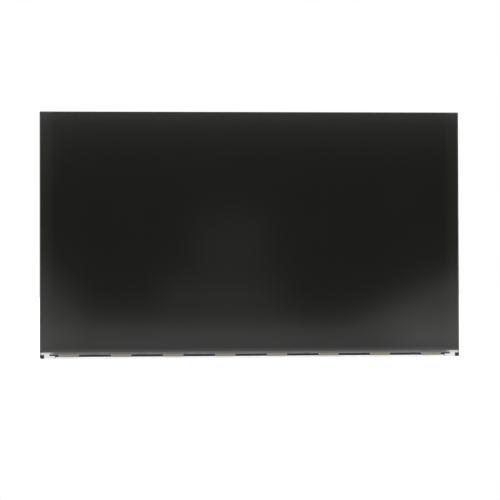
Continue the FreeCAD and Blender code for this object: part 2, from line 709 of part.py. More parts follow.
def board_parts():
    """Chips, coil, capacitors and resistors on the rear of the source board."""
    def chip(x, size, height):
        body = centred(x, board_bottom + PARTS_LIFT, size, size, board_back, board_back + height)
        return body.makeChamfer(CHIP_CHAMFER, edges_where(body, y=board_back + height))

    def resistor(x, lift):
        return centred(x, board_bottom + lift, RESISTOR_WIDTH, RESISTOR_LENGTH, board_back,
                       board_back + RESISTOR_HEIGHT)

    coil_back = board_back + INDUCTOR_HEIGHT
    coil = rounded_prism(INDUCTOR_X, board_bottom + PARTS_LIFT, INDUCTOR_SIZE, INDUCTOR_SIZE, INDUCTOR_RADIUS,
                         board_back, coil_back)
    capacitor_z = board_bottom + CAPACITOR_LIFT
    capacitor_back = board_back + CAPACITOR_HEIGHT
    capacitors = []
    for film_x in film_places():
        for offset in spread(CAPACITORS_PER_FILM, CAPACITOR_PITCH):
            capacitors.append(centred(film_x + offset, capacitor_z, CAPACITOR_WIDTH, CAPACITOR_LENGTH,
                                      board_back, capacitor_back))
    resistors = [resistor(x, RESISTOR_LIFT) for x in spread(RESISTOR_COUNT, RESISTOR_PITCH)]
    for gap_x in spread(FILM_COUNT - 1, film_pitch):
        for offset in spread(GAP_RESISTOR_COUNT, GAP_RESISTOR_PITCH):
            resistors.append(resistor(gap_x + offset, CAPACITOR_LIFT))
    return {
        "timing_controller": chip(CONTROLLER_X, CONTROLLER_SIZE, CONTROLLER_HEIGHT),
        "power_chip": chip(POWER_CHIP_X, POWER_CHIP_SIZE, POWER_CHIP_HEIGHT),
        "gamma_chip": chip(GAMMA_CHIP_X, SMALL_CHIP_SIZE, SMALL_CHIP_HEIGHT),
        "memory_chip": chip(MEMORY_CHIP_X, SMALL_CHIP_SIZE, SMALL_CHIP_HEIGHT),
        "level_chip": chip(LEVEL_CHIP_X, SMALL_CHIP_SIZE, SMALL_CHIP_HEIGHT),
        "power_inductor": coil,
        "board_capacitors": Part.makeCompound(capacitors),
        "board_resistors": Part.makeCompound(resistors),
    }


# Sockets

def socket_half_length(pins, pitch):
    return (pins - 1) * pitch / 2 + SOCKET_END


def socket_body(x, mouth, seat, pins, pitch):
    """A low socket that lies on its seat, with its mouth upwards."""
    half = socket_half_length(pins, pitch)
    inner = half - SOCKET_WALL
    cavity_low = seat + SOCKET_WALL
    cavity_high = cavity_low + SOCKET_CAVITY
    floor = mouth - SOCKET_DEPTH + SOCKET_FLOOR
    body = block(x - half, x + half, seat, cavity_high + SOCKET_WALL, mouth - SOCKET_DEPTH, mouth)
    return body.cut(block(x - inner, x + inner, cavity_low, cavity_high, floor, mouth + OVERSHOOT))


def socket_pins(x, mouth, seat, pins, pitch):
    """Flat contacts that lie along the seat side of the cavity."""
    low = seat + SOCKET_WALL
    floor = mouth - SOCKET_DEPTH + SOCKET_FLOOR
    top = mouth - SHELL_SETBACK
    middle = (floor + top) / 2
    contacts = []
    for offset in spread(pins, pitch):
        contacts.append(centred(x + offset, middle, PIN_WIDTH, top - floor, low, low + PIN_THICKNESS))
    return Part.makeCompound(contacts)


def socket_shell(x, mouth, seat, pins, pitch):
    """A folded metal cover over the rear and the ends of a socket."""
    half = socket_half_length(pins, pitch)
    outer = half + SHELL_THICKNESS
    back = seat + SOCKET_CAVITY + 2 * SOCKET_WALL
    top = mouth - SHELL_SETBACK
    low = mouth - SOCKET_DEPTH
    cover = block(x - outer, x + outer, seat, back + SHELL_THICKNESS, low, top)
    return cover.cut(block(x - half, x + half, seat, back, low, top))


def signal_socket():
    place = (SIGNAL_X, board_top - SOCKET_EDGE, board_back, SIGNAL_PIN_COUNT, SIGNAL_PIN_PITCH)
    return {
        "signal_socket_body": socket_body(*place),
        "signal_socket_pins": socket_pins(*place),
        "signal_socket_shell": socket_shell(*place),
    }


def led_socket():
    x0, x1 = tail_sides()
    tail_back = chassis_back + TAIL_GAP + TAIL_THICKNESS
    place = ((x0 + x1) / 2, led_board_top + TAIL_LIFT, tail_back, LED_PIN_COUNT, LED_PIN_PITCH)
    return {"led_socket_body": socket_body(*place), "led_socket_pins": socket_pins(*place)}


def all_nodes():
    """Every sub-part by its name."""
    nodes = {
        "front_polarizer": front_polarizer(),
        "colour_filter_glass": glass_plate(filter_bottom, filter_front, array_front),
        "array_glass": glass_plate(array_bottom, array_front, array_back),
        "rear_polarizer": rear_polarizer(),
        "mould_frame": mould_frame(),
        "corner_clip_left": corner_clip(-1),
        "corner_clip_right": corner_clip(1),
        "upper_diffuser": optical_sheet(upper_diffuser_front, prism_front),
        "prism_sheet": optical_sheet(prism_front, lower_diffuser_front),
        "lower_diffuser": optical_sheet(lower_diffuser_front, guide_front),
        "light_guide": light_guide(),
        "reflector": reflector(),
        "led_board": led_board(),
        "led_thermal_tape": led_thermal_tape(),
        "led_chips": led_chips(),
        "led_flex_tail": led_flex_tail(),
        "rear_chassis": rear_chassis(),
        "source_board": source_board(),
        "board_insulator": board_insulator(),
        "board_screws": Part.makeCompound([board_screw(x, z) for x, z in screw_places()]),
    }
    for number, x in enumerate(film_places(), start=1):
        nodes[f"driver_film_{number}"] = driver_film(x)
        nodes[f"driver_chip_{number}"] = driver_chip(x)
    for group in (panel_tapes(), board_parts(), signal_socket(), led_socket()):
        nodes.update(group)
    return nodes


def main():
    os.makedirs("parts", exist_ok=True)
    for name, shape in all_nodes().items():
        shape.exportStep(f"parts/{name}.step")


main()
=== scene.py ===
import math

import bmesh
import bpy
from mathutils import Matrix, Quaternion, Vector


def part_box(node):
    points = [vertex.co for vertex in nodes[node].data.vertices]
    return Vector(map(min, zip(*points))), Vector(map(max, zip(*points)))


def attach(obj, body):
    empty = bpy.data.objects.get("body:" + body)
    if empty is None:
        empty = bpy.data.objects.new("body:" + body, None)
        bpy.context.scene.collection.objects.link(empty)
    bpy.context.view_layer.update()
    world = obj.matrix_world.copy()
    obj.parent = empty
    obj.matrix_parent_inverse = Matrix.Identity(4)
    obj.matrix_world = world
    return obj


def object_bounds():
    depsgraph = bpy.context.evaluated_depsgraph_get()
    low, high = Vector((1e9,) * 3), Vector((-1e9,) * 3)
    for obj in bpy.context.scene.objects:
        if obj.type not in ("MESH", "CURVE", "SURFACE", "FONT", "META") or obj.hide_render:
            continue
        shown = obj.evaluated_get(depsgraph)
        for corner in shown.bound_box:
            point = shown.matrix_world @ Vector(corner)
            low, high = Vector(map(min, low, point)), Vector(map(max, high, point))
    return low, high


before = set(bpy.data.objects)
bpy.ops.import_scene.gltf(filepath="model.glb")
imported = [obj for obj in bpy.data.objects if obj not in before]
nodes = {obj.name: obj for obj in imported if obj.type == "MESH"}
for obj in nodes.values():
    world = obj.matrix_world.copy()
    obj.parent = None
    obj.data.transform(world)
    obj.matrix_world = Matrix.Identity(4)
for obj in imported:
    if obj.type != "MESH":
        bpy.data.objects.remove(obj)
cad_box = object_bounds()

MM = 0.001

# Camera, set to the photograph's viewpoint
LENS_MM = 67.92
SENSOR_MM = 36.0
CAMERA_PLACE = Vector((-44.3, -1208.3, -37.4)) * MM
CAMERA_YAW = math.radians(-2.062)
CAMERA_PITCH = math.radians(0.582)
CAMERA_ROLL = math.radians(-0.173)

# Floor and surround, in metres and in radiance where white is 1
FLOOR_HALF_WIDTH = 3.0
FLOOR_FRONT = -0.56
FLOOR_BACK = 2.0
FLOOR_TONE = (0.86, 0.86, 0.86)
FLOOR_GRAIN = 2.0 * MM
FLOOR_GLOW = 0.25
ROOM_DARK = 0.06
ROOM_SKY = 1.1
BACK_DIM = 0.40
GLOW_STARTS = math.sin(math.radians(9.0))
GLOW_FULL = math.sin(math.radians(15.0))
BACK_GLOW_FULL = math.sin(math.radians(40.0))
TURN_TO_BACK = 0.25

# Lights, in metres, with a fade as shares of a width and a height
OVERHEAD_HEIGHT = 1.45
OVERHEAD_SIZE = (1.8, 1.4)
SIDE_GLOW_DISTANCE = 0.65
SIDE_GLOW_DEPTH = 0.18
FOOT_GLOW_DISTANCE = 0.14
FOOT_GLOW_FADE = (0.15, 0.5)

# Screen
SCREEN_IOR = 1.37
SCREEN_CLOUD = 60.0 * MM
SCREEN_GRAIN = 0.35 * MM
SCREEN_GRAIN_DEPTH = 0.002 * MM
SCREEN_BORDER_SIDE = 1.95 * MM
SCREEN_BORDER_BOTTOM = 5.55 * MM
# Widths of the painted sheen at the side and top edges, then the height of the painted floor reflection
# at the foot
EDGE_SHEEN_WIDTH = 22.0 * MM
TOP_SHEEN_HEIGHT = 16.0 * MM
FOOT_REFLECTION_HEIGHT = 5.0 * MM
SCREEN_TONES = (0.0064, 0.0067, 0.0057), (0.0088, 0.0090, 0.0078)
SCREEN_GRAIN_TONE = (0.0052, 0.0055, 0.0048)
# The edge and corner tones are painted sheen, and the foot tone is a painted reflection of the floor
SCREEN_EDGE_SHEEN_TONE = (0.0125, 0.0130, 0.0104)
SCREEN_CORNER_SHEEN_TONE = (0.0225, 0.0231, 0.0208)
SCREEN_BORDER_TONE = (0.0088, 0.0088, 0.0094)
SCREEN_FOOT_REFLECTION_TONE = (0.034, 0.034, 0.033)
COATING_AT_FOOT = (1.0, 0.985, 0.985)
COATING_ABOVE = (0.955, 1.0, 0.94)

# Glass, with the ledge that the driver films hang from
GLASS_IOR = 1.5
GLASS_CLOUD = 12.0 * MM
GLASS_TONES = (0.070, 0.070, 0.072), (0.096, 0.096, 0.098)
# The lighter lip along the ledge's lower edge is a painted highlight, broken into glints along its
# length
LEDGE_LIP = 0.8 * MM
LEDGE_LIP_SOFTNESS = 0.24 * MM
LEDGE_GLINT_TONE = (0.165, 0.166, 0.168)
GLINT_GRAIN = 16.0 * MM
GLINT_STRETCH = (1.0, 60.0, 60.0)
GLINT_BAND = (0.36, 0.58)
GLINT_LEVELS = (0.35, 1.1)
TRACE_PITCH = 0.42 * MM
TRACE_DEPTH = 0.002 * MM
TRACE_MARGIN = 0.6 * MM
TRACE_TONES = (0.074, 0.065, 0.066), (0.109, 0.097, 0.099)
# How far the painted reflection of the white clip reaches along the ledge, and its tone
CLIP_REFLECTION_REACH = 6.5 * MM
CLIP_REFLECTION_TONE = (0.235, 0.235, 0.235)

# Driver films
FILM_CLOUD = 5.0 * MM
FILM_LINE_DEPTH = 0.008 * MM
FILM_FADE = 10.0 * MM
FILM_EDGE = 1.6 * MM
FILM_TONES = (0.150, 0.142, 0.105), (0.212, 0.200, 0.149)
FILM_CLOUD_TONE = (0.180, 0.175, 0.143)
FILM_FADE_TONE = (0.179, 0.175, 0.159)
FILM_EDGE_TONE = (0.255, 0.254, 0.238)
BOND_OVERLAP = 0.25 * MM
BOND_SOFTNESS = 0.15 * MM
BOND_FULL_DEPTH = 1.5 * MM
BOND_END_DEPTH = 2.0 * MM
BOND_TONES = (0.067, 0.060, 0.060), (0.103, 0.092, 0.092)

# Corner clips, whose lip is measured from the glass's lower edge
CLIP_CLOUD = 4.0 * MM
CLIP_GRAIN = 0.3 * MM
CLIP_GRAIN_DEPTH = 0.01 * MM
CLIP_LIP_LENGTH = 12.7 * MM
CLIP_LIP_STARTS = -0.4 * MM
CLIP_LIP_FULL = 0.2 * MM
CLIP_SHADED_END = 4.0 * MM
CLIP_SHADED_TOP = 0.5 * MM
CLIP_FOOT_TONES = (0.55, 0.55, 0.54), (0.61, 0.61, 0.595)
# The lip tones are painted shade, greyer than the foot
CLIP_LIP_SHADE_TONES = (0.415, 0.415, 0.40), (0.475, 0.475, 0.455)
CLIP_SHADED_TONE = (0.16, 0.16, 0.155)

# Chassis
ROLLING_GRAIN = 0.8 * MM
ROLLING_STRETCH = (90.0, 1.0, 1.0)
ROLLING_DEPTH = 0.004 * MM
ROLLING_TONES = (0.34, 0.345, 0.35), (0.50, 0.505, 0.51)
SPANGLE_SIZE = 4.5 * MM
SPANGLE_TONE = (0.52, 0.525, 0.52)
SPANGLE_UNEVEN = 0.3
SMUDGE_SIZE = 45.0 * MM
SMUDGE_TONE = (0.33, 0.33, 0.325)

# Source board, with patches told apart by a random grey and vias as shares of their spacing
BOARD_CLOUD = 14.0 * MM
TRACK_PITCH = 0.9 * MM
TRACK_EDGE = (0.50, 0.62)
TRACK_DEPTH = 0.02 * MM
ROUTED_PATCH = 8.0 * MM
UPRIGHT_LEVEL = 0.55
POURED_LEVEL = 0.80
FAN_RISE = 8.0 * MM
VIA_SPACING = 4.5 * MM
VIA_RING = (0.085, 0.075)
VIA_HOLE = (0.040, 0.034)
MASK_TONES = (0.010, 0.070, 0.030), (0.014, 0.090, 0.040)
COPPER_TONE = (0.026, 0.140, 0.064)
VIA_RING_TONE = (0.55, 0.42, 0.16)
VIA_HOLE_TONE = (0.02, 0.02, 0.015)
LAND_TONE = (0.62, 0.61, 0.58)

# Small parts on the board
SMALL_PART_CLOUD = 1.2 * MM
SMALL_PART_DEPTH = 0.01 * MM
SOLDERED_END = 0.35 * MM
SOLDERED_TONES = (0.50, 0.49, 0.47), (0.66, 0.65, 0.62)
CAPACITOR_TONE = (0.33, 0.22, 0.13)
RESISTOR_TONE = (0.022, 0.022, 0.024)
TINNED_METALLIC = 0.85
CHIP_CLOUD = 3.0 * MM
CHIP_GRAIN = 0.25 * MM
CHIP_GRAIN_DEPTH = 0.012 * MM
CHIP_TONES = (0.014, 0.014, 0.015), (0.024, 0.024, 0.025)
PIN_MARK_RADIUS = 0.35 * MM
PIN_MARK_INSET = 0.9 * MM
PIN_MARK_TONE = (0.055, 0.055, 0.055)

# Lamp tail
TAIL_CLOUD = 4.0 * MM
TAIL_MARGIN = 1.0 * MM
TAIL_MARGIN_SOFTNESS = 0.1 * MM
TAIL_TRACK_PITCH = 1.4 * MM
TAIL_TRACK_EDGE = (0.35, 0.50)
TAIL_TRACK_DEPTH = 0.02 * MM
TAIL_TONES = (0.34, 0.15, 0.025), (0.42, 0.20, 0.035)
TAIL_TRACK_TONE = (0.50, 0.27, 0.06)

# Plain mouldings and plated metal
MOULD_CLOUD = 9.0 * MM
MOULD_GRAIN = 0.4 * MM
MOULD_GRAIN_DEPTH = 0.01 * MM
MOULD_UNEVEN = 0.06
BRUSH_CLOUD = 3.0 * MM
BRUSH_GRAIN = 0.15 * MM
BRUSH_STRETCH = (12.0, 1.0, 1.0)
BRUSH_DEPTH = 0.003 * MM
BRUSH_UNEVEN = 0.08

# Leads and solder on the board, with the axes that each chip's leads reach out along
CHIP_SIDES = {
    "timing_controller": (0, 2),
    "power_chip": (0, 2),
    "gamma_chip": (0, 2),
    "memory_chip": (0,),
    "level_chip": (0,),
}
LEAD_PITCH = 0.8 * MM
LEAD_WIDTH = 0.3 * MM
LEAD_THICKNESS = 0.12 * MM
LEAD_SHOULDER = 0.3 * MM
LEAD_HEEL = 0.5 * MM
LEAD_REACH = 1.0 * MM
LEAD_CORNER = 0.5 * MM
LEAD_CLEARANCE = 0.01 * MM
LAND_MARGIN = 0.15 * MM
COIL_TERMINAL_WIDTH = 2.6 * MM
SOCKET_TAIL_WIDTH = 0.2 * MM
SOCKET_TAIL_RISE = 0.35 * MM
SOLDER_REACH = 0.35 * MM
SOLDER_RISE = 0.3 * MM
SOLDER_HOLLOW = (0.25, 0.42), (0.55, 0.15)
OFF_BOARD = Vector((0.0, 1.0, 0.0))
WELD_DISTANCE = 0.001 * MM


class Graph:
    """Short forms of the nodes that patterns are built from."""

    def __init__(self, tree, place, source="TexCoord"):
        self.tree = tree
        self.place = self.node(source).outputs[place]
        self.axes = self.node("SeparateXYZ", {"Vector": self.place}).outputs

    def node(self, kind, inputs=(), **settings):
        made = self.tree.nodes.new("ShaderNode" + kind)
        for key, value in settings.items():
            setattr(made, key, value)
        for key, value in dict(inputs).items():
            self.feed(made.inputs[key], value)
        return made

    def feed(self, socket, value):
        if isinstance(value, bpy.types.NodeSocket):
            self.tree.links.new(value, socket)
        else:
            socket.default_value = value

    def maths(self, operation, a, b=0.0):
        return self.node("Math", {0: a, 1: b}, operation=operation).outputs[0]

    def size(self, value):
        """The value without its sign."""
        return self.maths("ABSOLUTE", value)

    def step(self, value, start, end, low=0.0, high=1.0):
        """A smooth rise from low, up to start, to high, from end on."""
        inputs = {"Value": value, "From Min": start, "From Max": end, "To Min": low, "To Max": high}
        return self.node("MapRange", inputs, interpolation_type="SMOOTHSTEP").outputs[0]

    def range(self, value, low, high):
        return self.node("MapRange", {"Value": value, "To Min": low, "To Max": high}).outputs[0]

    def share(self, value, most):
        """A pattern from 0 to 1, made weaker so that it reaches that at most."""
        return self.range(value, 0.0, most)

    def mix(self, factor, a, b):
        return self.node("Mix", {0: factor, 2: a, 3: b}).outputs[0]

    def blend(self, factor, a, b):
        """The colours a and b mixed."""
        a, b = (value if isinstance(value, bpy.types.NodeSocket) else (*value, 1.0) for value in (a, b))
        return self.node("Mix", {0: factor, 6: a, 7: b}, data_type="RGBA").outputs[2]

    def noise(self, grain, detail=2.0, stretch=(1.0, 1.0, 1.0)):
        """Noise with grains of that many metres, drawn out along the axes by stretch."""
        scale = [1.0 / (grain * length) for length in stretch]
        stretched = self.node("Mapping", {"Vector": self.place, "Scale": scale}).outputs[0]
        inputs = {"Vector": stretched, "Scale": 1.0, "Detail": detail}
        return self.node("TexNoise", inputs).outputs["Fac"]

    def scatter(self, spacing, metric="EUCLIDEAN"):
        """Points scattered about that far apart, each with its own cell."""
        inputs = {"Vector": self.place, "Scale": 1.0 / spacing}
        return self.node("TexVoronoi", inputs, distance=metric).outputs

    def cells(self, size, metric="EUCLIDEAN"):
        """A random grey for each cell of a broken-up grid of that size."""
        colour = self.scatter(size, metric)["Color"]
        return self.node("SeparateColor", {"Color": colour}).outputs[0]

    def repeat(self, value, pitch):
        """The distance from the middle of the stretch of that pitch in which the value lies."""
        turns = self.maths("FRACT", self.maths("DIVIDE", value, pitch))
        return self.maths("MULTIPLY", self.maths("SUBTRACT", turns, 0.5), pitch)

    def stripes(self, value, pitch):
        """Soft stripes from 0 to 1 across the value."""
        wave = self.maths("SINE", self.maths("MULTIPLY", value, 2 * math.pi / pitch))
        return self.node("MapRange", {"Value": wave, "From Min": -1.0}).outputs[0]


class Shade(Graph):
    """A material whose pattern is worked out from the place on the part."""

    def __init__(self, name, roughness, metallic=0.0, **constants):
        self.material = bpy.data.materials.new(name)
        self.material.use_nodes = True
        super().__init__(self.material.node_tree, "Object")
        self.shader = self.tree.nodes["Principled BSDF"]
        settings = {"Roughness": roughness, "Metallic": metallic, **constants}
        for socket, value in settings.items():
            self.shader.inputs[socket].default_value = value

    def colour(self, value):
        self.feed(self.shader.inputs["Base Color"], value)

    def roughness(self, pattern, low, high):
        self.feed(self.shader.inputs["Roughness"], self.range(pattern, low, high))

    def bump(self, height, depth):
        made = self.node("Bump", {"Height": height, "Distance": depth})
        self.feed(self.shader.inputs["Normal"], made.outputs[0])


def spread(colour, darker, paler):
    """A darker and a paler copy of a colour."""
    return [tuple(channel * factor for channel in colour) for factor in (darker, paler)]


def moulded(name, colour, roughness, grain=MOULD_GRAIN, variation=0.12, **constants):
    """A plain piece: cloudy colour, uneven gloss and a fine grain."""
    shade = Shade(name, roughness, **constants)
    cloud = shade.noise(MOULD_CLOUD, detail=3.0)
    fine = shade.noise(grain)
    dark, pale = spread(colour, darker=1 - variation, paler=1 + variation)
    tone = shade.blend(cloud, dark, pale)
    shade.colour(shade.blend(shade.share(fine, most=0.5), tone, dark))
    shade.roughness(cloud, roughness - MOULD_UNEVEN, roughness + MOULD_UNEVEN)
    shade.bump(fine, MOULD_GRAIN_DEPTH)
    return shade.material


def brushed_metal(name, colour, roughness):
    """Plated metal with fine lines along X."""
    shade = Shade(name, roughness, metallic=1.0)
    cloud = shade.noise(BRUSH_CLOUD)
    fine = shade.noise(BRUSH_GRAIN, stretch=BRUSH_STRETCH)
    shade.colour(shade.blend(fine, *spread(colour, darker=0.85, paler=1.08)))
    shade.roughness(cloud, roughness - BRUSH_UNEVEN, roughness + BRUSH_UNEVEN)
    shade.bump(fine, BRUSH_DEPTH)
    return shade.material


def screen_film():
    """Matted polarizing film, near black, with a border, painted sheen at its side and top edges, a
    painted reflection of the floor at its foot, and a coating that mirrors a little green.
    """
    low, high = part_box("front_polarizer")
    shade = Shade("screen_film", roughness=0.17, IOR=SCREEN_IOR)
    across = shade.size(shade.axes["X"])
    upward = shade.axes["Z"]
    cloud = shade.noise(SCREEN_CLOUD, detail=3.0)
    fine = shade.noise(SCREEN_GRAIN, detail=1.0)
    picture = shade.blend(cloud, *SCREEN_TONES)
    picture = shade.blend(shade.share(fine, most=0.35), picture, SCREEN_GRAIN_TONE)
    # Painted sheen: lighter along the side and top edges and lighter still in the top corners, standing
    # in for reflected light
    side = shade.step(across, high.x - EDGE_SHEEN_WIDTH, high.x)
    top = shade.step(upward, high.z - TOP_SHEEN_HEIGHT, high.z)
    with_painted_sheen = shade.blend(shade.maths("MAXIMUM", side, top), picture, SCREEN_EDGE_SHEEN_TONE)
    with_painted_sheen = shade.blend(shade.maths("MULTIPLY", side, top), with_painted_sheen, SCREEN_CORNER_SHEEN_TONE)
    beside = shade.maths("GREATER_THAN", across, high.x - SCREEN_BORDER_SIDE)
    below = shade.maths("LESS_THAN", upward, low.z + SCREEN_BORDER_BOTTOM)
    border = shade.share(shade.maths("MAXIMUM", beside, below), most=0.6)
    edged = shade.blend(border, with_painted_sheen, SCREEN_BORDER_TONE)
    # Painted reflection: the colour gets lighter towards the foot, standing in for the bright floor
    # mirrored in the screen
    foot = shade.step(upward, low.z + FOOT_REFLECTION_HEIGHT, low.z)
    shade.colour(shade.blend(foot, edged, SCREEN_FOOT_REFLECTION_TONE))
    rise = shade.step(upward, low.z, (low.z + high.z) / 2)
    coating = shade.blend(rise, COATING_AT_FOOT, COATING_ABOVE)
    shade.feed(shade.shader.inputs["Specular Tint"], coating)
    shade.bump(fine, SCREEN_GRAIN_DEPTH)
    return shade.material


def film_pitch():
    first, second = (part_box(f"driver_film_{number}") for number in (1, 2))
    return second[0].x - first[0].x


def film_half_width():
    low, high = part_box("driver_film_1")
    return (high.x - low.x) / 2


def panel_glass():
    """Panel glass: dark at the edges, with bundles of traces on the ledge below the front sheet, a
    painted highlight along the ledge's lower edge and a painted reflection of each white clip beside it.
    """
    low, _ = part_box("array_glass")
    _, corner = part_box("corner_clip_right")
    half = film_half_width()
    shade = Shade("panel_glass", roughness=0.16, IOR=GLASS_IOR)
    across = shade.repeat(shade.axes["X"], film_pitch())
    traces = shade.stripes(across, TRACE_PITCH)
    cloud = shade.noise(GLASS_CLOUD, detail=3.0)
    # Painted highlight: a broken light line along the lower edge of the glass
    streaks = shade.noise(GLINT_GRAIN, detail=1.0, stretch=GLINT_STRETCH)
    glint = shade.step(streaks, *GLINT_BAND, *GLINT_LEVELS)
    lip_top = low.z + LEDGE_LIP
    lip = shade.step(shade.axes["Z"], lip_top + LEDGE_LIP_SOFTNESS, lip_top - LEDGE_LIP_SOFTNESS)
    plain = shade.blend(cloud, *GLASS_TONES)
    plain = shade.blend(shade.maths("MULTIPLY", lip, glint), plain, LEDGE_GLINT_TONE)
    bonded = shade.blend(traces, *TRACE_TONES)
    under_film = shade.step(shade.size(across), half + TRACE_MARGIN, half - TRACE_MARGIN)
    ledge = shade.blend(under_film, plain, bonded)
    # Painted reflection: the ledge gets lighter towards each white clip
    clip_starts = corner.x - CLIP_LIP_LENGTH
    clip_reflection = shade.step(shade.size(shade.axes["X"]), clip_starts - CLIP_REFLECTION_REACH, clip_starts)
    shade.colour(shade.blend(clip_reflection, ledge, CLIP_REFLECTION_TONE))
    shade.roughness(cloud, low=0.10, high=0.22)
    shade.bump(traces, TRACE_DEPTH)
    return shade.material


def driver_film():
    """Tan film with fine lines along it and greyer edges, darker where it is bonded to the glass."""
    glass_low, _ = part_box("array_glass")
    screen_low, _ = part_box("front_polarizer")
    half = film_half_width()
    shade = Shade("driver_film", roughness=0.38)
    across = shade.repeat(shade.axes["X"], film_pitch())
    off_middle = shade.size(across)
    lines = shade.stripes(across, TRACE_PITCH)
    cloud = shade.noise(FILM_CLOUD, detail=3.0)
    tan = shade.blend(lines, *FILM_TONES)
    tan = shade.blend(shade.share(cloud, most=0.5), tan, FILM_CLOUD_TONE)
    fade = shade.step(off_middle, half - FILM_FADE, half, high=0.75)
    tan = shade.blend(fade, tan, FILM_FADE_TONE)
    edge = shade.step(off_middle, half - FILM_EDGE, half)
    tan = shade.blend(edge, tan, FILM_EDGE_TONE)
    bond = shade.blend(lines, *BOND_TONES)
    seam = glass_low.z + BOND_OVERLAP
    upper = shade.step(shade.axes["Z"], seam - BOND_SOFTNESS, seam + BOND_SOFTNESS)
    bond_end, bond_full = screen_low.y + BOND_END_DEPTH, screen_low.y + BOND_FULL_DEPTH
    forward = shade.step(shade.axes["Y"], bond_end, bond_full)
    shade.colour(shade.blend(shade.maths("MULTIPLY", upper, forward), tan, bond))
    shade.roughness(cloud, low=0.30, high=0.46)
    shade.bump(lines, FILM_LINE_DEPTH)
    return shade.material


def clip_white():
    """White moulding with painted shade: greyer in the thin lip, and shaded at its top and outer end."""
    glass_low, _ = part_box("array_glass")
    _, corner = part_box("corner_clip_right")
    shade = Shade("clip_white", roughness=0.42)
    upward = shade.axes["Z"]
    cloud = shade.noise(CLIP_CLOUD, detail=3.0)
    fine = shade.noise(CLIP_GRAIN)
    foot = shade.blend(cloud, *CLIP_FOOT_TONES)
    lip = shade.blend(cloud, *CLIP_LIP_SHADE_TONES)
    # Painted shade: the lip is coloured greyer than the foot
    lip_shade_mask = shade.step(upward, glass_low.z + CLIP_LIP_STARTS, glass_low.z + CLIP_LIP_FULL)
    white = shade.blend(lip_shade_mask, foot, lip)
    end = shade.step(shade.size(shade.axes["X"]), corner.x - CLIP_SHADED_END, corner.x, high=0.6)
    top = shade.step(upward, corner.z - CLIP_SHADED_TOP, corner.z, high=0.8)
    shade.colour(shade.blend(shade.maths("MAXIMUM", end, top), white, CLIP_SHADED_TONE))
    shade.roughness(cloud, low=0.36, high=0.48)
    shade.bump(fine, CLIP_GRAIN_DEPTH)
    return shade.material


def chassis_steel():
    """Zinc-coated sheet: rolling lines, a faint spangle and handling marks."""
    shade = Shade("chassis_steel", roughness=0.34, metallic=1.0)
    rolled = shade.noise(ROLLING_GRAIN, detail=3.0, stretch=ROLLING_STRETCH)
    spangle = shade.cells(SPANGLE_SIZE)
    smudge = shade.noise(SMUDGE_SIZE, detail=4.0)
    tone = shade.blend(rolled, *ROLLING_TONES)
    tone = shade.blend(shade.share(spangle, most=0.35), tone, SPANGLE_TONE)
    shade.colour(shade.blend(shade.share(smudge, most=0.30), tone, SMUDGE_TONE))
    uneven = shade.maths("ADD", shade.maths("MULTIPLY", spangle, SPANGLE_UNEVEN), smudge)
    shade.roughness(uneven, low=0.26, high=0.44)
    shade.bump(rolled, ROLLING_DEPTH)
    return shade.material


def lands(shade, name):
    """Tinned lands under the leads of a chip."""
    low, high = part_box(name)
    rows = []
    for across in CHIP_SIDES[name]:
        along = 2 - across
        run = shade.maths("SUBTRACT", shade.axes[along], (low[along] + high[along]) / 2)
        reach = shade.maths("SUBTRACT", shade.axes[across], (low[across] + high[across]) / 2)
        tip = (high[across] - low[across]) / 2 + LEAD_REACH + LAND_MARGIN
        beside = shade.maths("LESS_THAN", shade.size(run), (high[along] - low[along]) / 2)
        near = shade.maths("LESS_THAN", shade.size(reach), tip)
        centred = shade.maths("ADD", run, LEAD_PITCH / 4)
        bars = shade.maths("GREATER_THAN", shade.stripes(centred, LEAD_PITCH), 0.5)
        rows.append(shade.maths("MULTIPLY", bars, shade.maths("MULTIPLY", beside, near)))
    return shade.maths("MAXIMUM", rows[0], rows[-1])


def board_green():
    """Solder mask over copper: patches of tracks, a fan above each film, vias and lands by the chips."""
    low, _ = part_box("source_board")
    shade = Shade("board_green", roughness=0.34)
    cloud = shade.noise(BOARD_CLOUD, detail=3.0)
    patch = shade.cells(ROUTED_PATCH, "CHEBYCHEV")
    level = shade.step(shade.stripes(shade.axes["Z"], TRACK_PITCH), *TRACK_EDGE)
    upright = shade.step(shade.stripes(shade.axes["X"], TRACK_PITCH), *TRACK_EDGE)
    routed = shade.mix(shade.maths("GREATER_THAN", patch, UPRIGHT_LEVEL), level, upright)
    poured = shade.maths("GREATER_THAN", patch, POURED_LEVEL)
    across = shade.size(shade.repeat(shade.axes["X"], film_pitch()))
    above_film = shade.maths("LESS_THAN", across, film_half_width())
    near_foot = shade.maths("LESS_THAN", shade.axes["Z"], low.z + FAN_RISE)
    fan = shade.maths("MULTIPLY", above_film, near_foot)
    copper = shade.mix(fan, shade.maths("MAXIMUM", routed, poured), upright)
    mask = shade.blend(cloud, *MASK_TONES)
    mask = shade.blend(shade.share(copper, most=0.75), mask, COPPER_TONE)
    vias = shade.scatter(VIA_SPACING)["Distance"]
    mask = shade.blend(shade.step(vias, *VIA_RING), mask, VIA_RING_TONE)
    mask = shade.blend(shade.step(vias, *VIA_HOLE), mask, VIA_HOLE_TONE)
    tinned = 0.0
    for name in CHIP_SIDES:
        tinned = shade.maths("MAXIMUM", lands(shade, name), tinned)
    shade.colour(shade.blend(tinned, mask, LAND_TONE))
    shade.feed(shade.shader.inputs["Metallic"], shade.share(tinned, TINNED_METALLIC))
    shade.roughness(cloud, low=0.26, high=0.42)
    shade.bump(copper, TRACK_DEPTH)
    return shade.material


